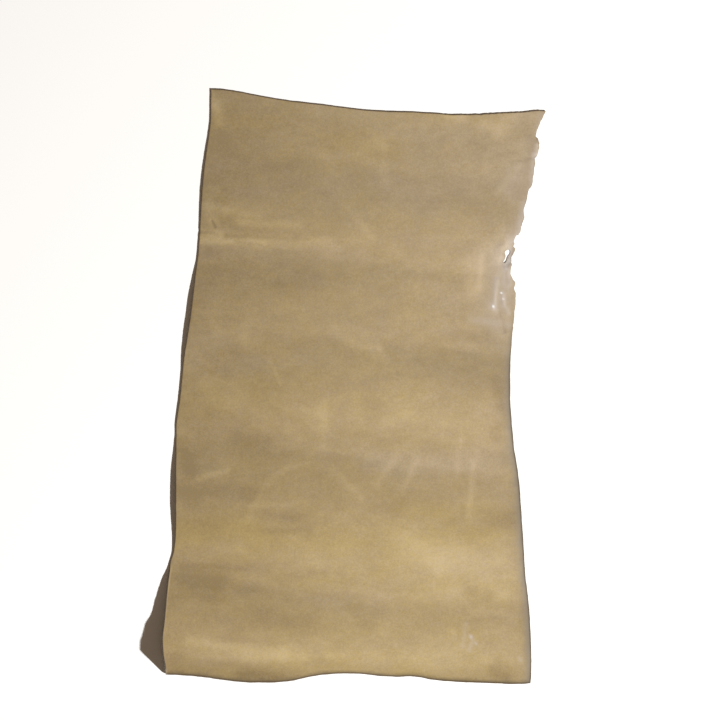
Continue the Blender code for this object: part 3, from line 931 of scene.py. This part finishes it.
def build_sheet(offset):
    """The hide as a closed thin sheet: grain side, cut edge and flesh side."""
    flat, triangles, from_edge, from_hole = cut_net()
    base = lay(flat)
    x, y = base[:, 0].copy(), base[:, 1].copy()
    relief = strokes(CREASES, "rise", x, y)
    base[:, 2] += np.maximum(relief, 0)
    normals = point_normals(base, triangles)
    torn = np.exp(-((from_hole / TORN_REACH) ** 2))
    thick = THICKNESS + THICKER * wander(THICK_WAVES, x, y) + np.minimum(relief, 0)
    thick -= SHOULDER * np.exp(-from_edge / SHOULDER_REACH)
    thick *= 1 - TORN_THINNER * torn
    top = base + normals * thick[:, None]
    pairs = cut_edges(triangles)
    outward = rim_directions(base, normals, pairs)
    rim_numbers = {point: place for place, point in enumerate(outward)}
    rim_points = [
        base[point] + outward[point] * row.out + normals[point] * row.up * thick[point]
        for row in RIM
        for point in outward
    ]
    count, around = len(base), len(outward)
    places = (np.concatenate([top, base, rim_points]) * MM + offset).tolist()
    faces = triangles.tolist() + (triangles[:, ::-1] + count).tolist()
    kinds = [GRAIN] * len(triangles) + [FLESH] * len(triangles)
    for a, b in pairs.tolist():
        columns = []
        for point in (a, b):
            rim = [2 * count + level * around + rim_numbers[point] for level in range(len(RIM))]
            columns.append([point + count] + rim + [point])
        rungs = list(zip(*columns))
        for low, high in zip(rungs, rungs[1:]):
            faces.append([low[0], low[1], high[1], high[0]])
            kinds.append(CUT)
    mesh = bpy.data.meshes.new("hide_leather")
    mesh.from_pydata(places, [], faces)
    mesh.polygons.foreach_set("material_index", kinds)
    mesh.polygons.foreach_set("use_smooth", [True] * len(faces))
    grey = painted_rim_shade_and_sheen(x, y)
    for name, values in (
        ("tone", leather_tone(x, y)),
        ("sheen_and_scuffs", np.clip(strokes(SHEEN_AND_SCUFFS, "amount", x, y), 0, 2)),
        ("grey", grey),
        ("torn", torn),
        ("warm", warmth(x, y)),
        ("edge", edge_colour_and_painted_shade(flat, x, y, from_edge, grey)),
    ):
        attribute = mesh.attributes.new(name, "FLOAT", "POINT")
        on_rim = np.tile(values[list(outward)], len(RIM))
        attribute.data.foreach_set("value", np.concatenate([values, values, on_rim]))
    ends = {frozenset(pair) for pair in np.concatenate([pairs, pairs + count]).tolist()}
    for edge in mesh.edges:
        if frozenset(edge.vertices) in ends:
            edge.use_edge_sharp = True
    mesh.validate()
    sheet = bpy.data.objects.new("hide_leather", mesh)
    bpy.context.scene.collection.objects.link(sheet)
    return sheet


# ---------------------------------------------------------------- materials
class Nodes:
    """A material's nodes, added one at a time."""

    def __init__(self, name):
        self.material = bpy.data.materials.new(name)
        self.material.use_nodes = True
        self.tree = self.material.node_tree
        self.surface = self.tree.nodes["Principled BSDF"]

    def add(self, kind, settings=None, **inputs):
        """Adds a node. An input's value is a number, a colour or another node's output. Inputs
        are given by name, or as _0, _1 and so on by their place."""
        node = self.tree.nodes.new(kind)
        for name, value in (settings or {}).items():
            setattr(node, name, value)
        for name, value in inputs.items():
            place = int(name[1:]) if name[0] == "_" else name.replace("_", " ")
            self.set(node.inputs[place], value)
        return node.outputs[0]

    def set(self, socket, value):
        """Sets a socket to a number or a colour, or links it to another node's output."""
        if isinstance(value, bpy.types.NodeSocket):
            self.tree.links.new(value, socket)
        else:
            socket.default_value = value

    def math(self, operation, a, b):
        """A sum, difference or product of two values."""
        return self.add("ShaderNodeMath", {"operation": operation}, _0=a, _1=b)

    def mix(self, share, a, b, blend="MIX"):
        """Colour a with this share of colour b."""
        node = self.tree.nodes.new("ShaderNodeMix")
        node.data_type = "RGBA"
        node.blend_type = blend
        self.set(node.inputs[0], share)
        self.set(node.inputs[6], a)
        self.set(node.inputs[7], b)
        return node.outputs[2]

    def read(self, name):
        """The sheet's own value of this name, at each place on it."""
        node = self.tree.nodes.new("ShaderNodeAttribute")
        node.attribute_name = name
        return node.outputs["Fac"]

    def noise(self, scale, detail=2.0, stretch=(1, 1, 1)):
        """Noise in the object's own place, with bumps of about 1/scale metres."""
        place = self.tree.nodes.new("ShaderNodeTexCoord").outputs["Object"]
        mapping = self.tree.nodes.new("ShaderNodeMapping")
        mapping.inputs["Scale"].default_value = stretch
        self.tree.links.new(place, mapping.inputs["Vector"])
        sizes = {"Scale": float(scale), "Detail": float(detail)}
        return self.add("ShaderNodeTexNoise", Vector=mapping.outputs[0], **sizes)

    def around_zero(self, value, size):
        """A 0 to 1 value turned into one from -size/2 to size/2."""
        return self.math("MULTIPLY", self.math("SUBTRACT", value, 0.5), size)


LEATHER_DARK = (0.2291, 0.1701, 0.1022, 1)
LEATHER_MID = (0.3148, 0.2413, 0.1465, 1)
LEATHER_LIGHT = (0.4124, 0.3234, 0.2079, 1)
WARM_TINT = (1.0, 0.955, 0.64, 1)  # the leather is this much warmer where it is warmest
SHEEN_AND_SCUFF_COLOUR = (0.43, 0.372, 0.315, 1)
PAINTED_HIGHLIGHT_COLOUR = (0.85, 0.84, 0.82, 1)  # painted white highlight, where the sheen amount is over 1
# painted shade with a bluish sky sheen, along the right margin
RIM_SHADE_AND_SHEEN_COLOUR = (0.232, 0.20, 0.152, 1)
CUT_COLOUR = (0.07, 0.05, 0.03, 1)
CUT_LIGHT = (0.16, 0.12, 0.075, 1)
# paler torn fibre, lightened further as painted light on the hole's shaded wall
TORN_COLOUR = (0.42, 0.36, 0.28, 1)
FLESH_DARK = (0.13, 0.10, 0.072, 1)
FLESH_LIGHT = (0.24, 0.19, 0.14, 1)

# How the grain side's tone and warmth vary by themselves, from broad clouds to fine grain.
Mottle = namedtuple("Mottle", "scale detail stretch size")
TONE_MOTTLES = [
    Mottle(14, 3, (1, 1.6, 1), 0.42),
    Mottle(60, 3, (0.7, 1.2, 1), 0.4),
    Mottle(170, 2, (1, 1, 1), 0.32),
    Mottle(420, 2, (1, 1, 1), 0.6),
]
WARM_MOTTLES = [
    Mottle(24, 2, (0.7, 1.2, 1), 0.7),
    Mottle(130, 2, (0.7, 1.2, 1), 0.7),
    Mottle(420, 2, (0.7, 1.2, 1), 1.2),
]
CUT_SHARE = 0.85  # how near the grain comes to the cut edge's colour, painted shade included, at its darkest
ROUGHNESS = 0.8
ROUGHNESS_VARIES = 0.1
SHEEN_SMOOTHER = 0.2
PATCHY_SHEEN = 0.45  # added to noise of about 0.5, so that full painted sheen is nearly the whole colour
PATCHY_RIM = 0.5


def grain_material():
    """The grain side: the leather's tone from dark to light, painted light and shade included, and
    its warmth, painted sheen and scuffs, painted glints, the right margin's painted shade and sheen,
    and dark edges with painted shade over that."""
    m = Nodes("leather_grain")
    tone = m.math("ADD", m.math("MULTIPLY", m.read("tone"), 0.5), 0.5)
    for row in TONE_MOTTLES:
        tone = m.math("ADD", tone, m.around_zero(m.noise(*row[:3]), row.size))
    ramp = m.tree.nodes.new("ShaderNodeValToRGB")
    ramp.color_ramp.elements[0].color = LEATHER_DARK
    ramp.color_ramp.elements[1].color = LEATHER_LIGHT
    middle = ramp.color_ramp.elements.new(0.5)
    middle.color = LEATHER_MID
    m.tree.links.new(tone, ramp.inputs[0])
    warm = m.read("warm")
    for row in WARM_MOTTLES:
        warm = m.math("ADD", warm, m.around_zero(m.noise(*row[:3]), row.size))
    colour = m.mix(warm, ramp.outputs[0], WARM_TINT, "MULTIPLY")
    # painted sheen, and the scuffs: greyer and lighter, in patches
    patches = m.math("ADD", m.noise(110, 3, (2.2, 0.7, 1)), PATCHY_SHEEN)
    sheen_and_scuffs = m.math("MULTIPLY", m.read("sheen_and_scuffs"), patches)
    colour = m.mix(sheen_and_scuffs, colour, SHEEN_AND_SCUFF_COLOUR)
    # painted white highlights where the sheen amount is over 1
    colour = m.mix(m.math("SUBTRACT", m.read("sheen_and_scuffs"), 1.0), colour, PAINTED_HIGHLIGHT_COLOUR)
    # painted shade and sky sheen along the right margin, in patches
    grey = m.math("MULTIPLY", m.read("grey"), m.math("ADD", m.noise(60, 3), PATCHY_RIM))
    colour = m.mix(grey, colour, RIM_SHADE_AND_SHEEN_COLOUR)
    # the dark line along cuts, the front and right bands, and painted shade over the turned-up
    # margin
    colour = m.mix(m.math("MULTIPLY", m.read("edge"), CUT_SHARE), colour, CUT_COLOUR)
    m.set(m.surface.inputs["Base Color"], colour)
    rough = m.math("ADD", m.around_zero(m.noise(90, 3), ROUGHNESS_VARIES), ROUGHNESS)
    rough = m.math("SUBTRACT", rough, m.math("MULTIPLY", sheen_and_scuffs, SHEEN_SMOOTHER))
    m.set(m.surface.inputs["Roughness"], rough)
    m.surface.inputs["IOR"].default_value = 1.42
    cells = m.add("ShaderNodeTexVoronoi", {"feature": "SMOOTH_F1"}, Scale=850.0)
    height = m.math("ADD", cells, m.noise(420, 4))
    bump = m.add("ShaderNodeBump", Strength=0.22, Distance=0.0003, Height=height)
    m.set(m.surface.inputs["Normal"], bump)
    return m.material


def cut_material():
    """The cut edge: dark fibre, and paler near the torn hole, as torn fibre and as painted light
    that keeps the hole's wall from looking shaded.
    """
    m = Nodes("leather_cut_edge")
    colour = m.mix(m.noise(600, 4, (1, 1, 3)), CUT_COLOUR, CUT_LIGHT)
    m.set(m.surface.inputs["Base Color"], m.mix(m.read("torn"), colour, TORN_COLOUR))
    m.surface.inputs["Roughness"].default_value = 0.8
    bump = m.add("ShaderNodeBump", Strength=0.5, Distance=0.0003, Height=m.noise(1500, 4))
    m.set(m.surface.inputs["Normal"], bump)
    return m.material


def flesh_material():
    """The flesh side: a short brown nap."""
    m = Nodes("leather_flesh")
    nap = m.math("ADD", m.noise(700, 4, (1, 0.35, 1)), m.around_zero(m.noise(30, 3), 0.5))
    m.set(m.surface.inputs["Base Color"], m.mix(nap, FLESH_DARK, FLESH_LIGHT))
    m.surface.inputs["Roughness"].default_value = 0.95
    m.surface.inputs["Sheen Weight"].default_value = 0.25
    m.surface.inputs["Sheen Roughness"].default_value = 0.5
    height = m.noise(900, 5, (1, 0.3, 1))
    bump = m.add("ShaderNodeBump", Strength=0.6, Distance=0.0006, Height=height)
    m.set(m.surface.inputs["Normal"], bump)
    return m.material


def floor_material():
    """A plain pale floor."""
    m = Nodes("pale_floor")
    m.surface.inputs["Base Color"].default_value = (0.88, 0.88, 0.875, 1)
    m.surface.inputs["Roughness"].default_value = 0.9
    m.surface.inputs["Specular IOR Level"].default_value = 0.1
    return m.material


# ---------------------------------------------------------------- floor, lights, camera
FLOOR_SIZE = 30
FLOOR_GAP = 0.0003
KEY_DIRECTION = Vector((1.28, -0.95, 1.0))
KEY_DISTANCE = 8.0
KEY_SIZE = 0.32
KEY_POWER = 1371
FILL_COLOUR = (1.0, 0.75, 0.53)
FILL_STRENGTH = 0.165
SKY_COLOUR = (0.93, 0.93, 0.92)
MM_PER_PIXEL = 1.473
PHOTO_SIZE = 720
MIDDLE_PIXEL = (354, 385.5)  # where the tables' origin is in the photograph
CAMERA_HEIGHT = 5.0
SENSOR = 36


def make_floor():
    """A flat floor just under the hide."""
    half = FLOOR_SIZE / 2
    mesh = bpy.data.meshes.new("floor")
    corners = [(-half, -half), (half, -half), (half, half), (-half, half)]
    mesh.from_pydata([(x, y, -FLOOR_GAP) for x, y in corners], [], [(0, 1, 2, 3)])
    mesh.materials.append(floor_material())
    floor = bpy.data.objects.new("floor", mesh)
    bpy.context.scene.collection.objects.link(floor)
    return floor


def make_lights():
    """A low sun from the front right, and a weaker warm light from all round. The camera sees a
    pale sky."""
    lamp = bpy.data.lights.new("key", "AREA")
    lamp.size = KEY_SIZE
    lamp.energy = KEY_POWER
    key = bpy.data.objects.new("key", lamp)
    direction = KEY_DIRECTION.normalized()
    key.location = direction * KEY_DISTANCE
    key.rotation_euler = direction.to_track_quat("Z", "Y").to_euler()
    bpy.context.scene.collection.objects.link(key)
    world = bpy.data.worlds.new("studio")
    bpy.context.scene.world = world
    world.use_nodes = True
    tree = world.node_tree
    fill = tree.nodes["Background"]
    fill.inputs["Color"].default_value = (*FILL_COLOUR, 1)
    fill.inputs["Strength"].default_value = FILL_STRENGTH
    sky = tree.nodes.new("ShaderNodeBackground")
    sky.inputs["Color"].default_value = (*SKY_COLOUR, 1)
    seen = tree.nodes.new("ShaderNodeLightPath")
    both = tree.nodes.new("ShaderNodeMixShader")
    tree.links.new(seen.outputs["Is Camera Ray"], both.inputs[0])
    tree.links.new(fill.outputs[0], both.inputs[1])
    tree.links.new(sky.outputs[0], both.inputs[2])
    tree.links.new(both.outputs[0], tree.nodes["World Output"].inputs["Surface"])


def make_camera(offset):
    """Straight above, so that a millimetre in the tables falls on the photograph's pixel."""
    data = bpy.data.cameras.new("camera")
    data.sensor_width = SENSOR
    data.lens = SENSOR * CAMERA_HEIGHT / (PHOTO_SIZE * MM_PER_PIXEL * MM)
    camera = bpy.data.objects.new("camera", data)
    middle = PHOTO_SIZE / 2
    camera.location = (
        (middle - MIDDLE_PIXEL[0]) * MM_PER_PIXEL * MM + offset[0],
        (MIDDLE_PIXEL[1] - middle) * MM_PER_PIXEL * MM + offset[1],
        CAMERA_HEIGHT,
    )
    bpy.context.scene.collection.objects.link(camera)
    bpy.context.scene.camera = camera


def main():
    """Everything in the scene."""
    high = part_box("hide")[1]
    # the tables' right-most and hind-most places are the sides of the solid's box
    offset = np.array([high[0] - RIGHT_EDGE[-1].x * MM, high[1] - BACK_EDGE[0].y * MM, 0])
    make_camera(offset)
    sheet = build_sheet(offset)
    for material in (grain_material(), cut_material(), flesh_material()):
        sheet.data.materials.append(material)
    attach(sheet, "root")
    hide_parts("hide")
    floor = make_floor()
    make_lights()
    bpy.context.scene.view_settings.view_transform = "Standard"


main()
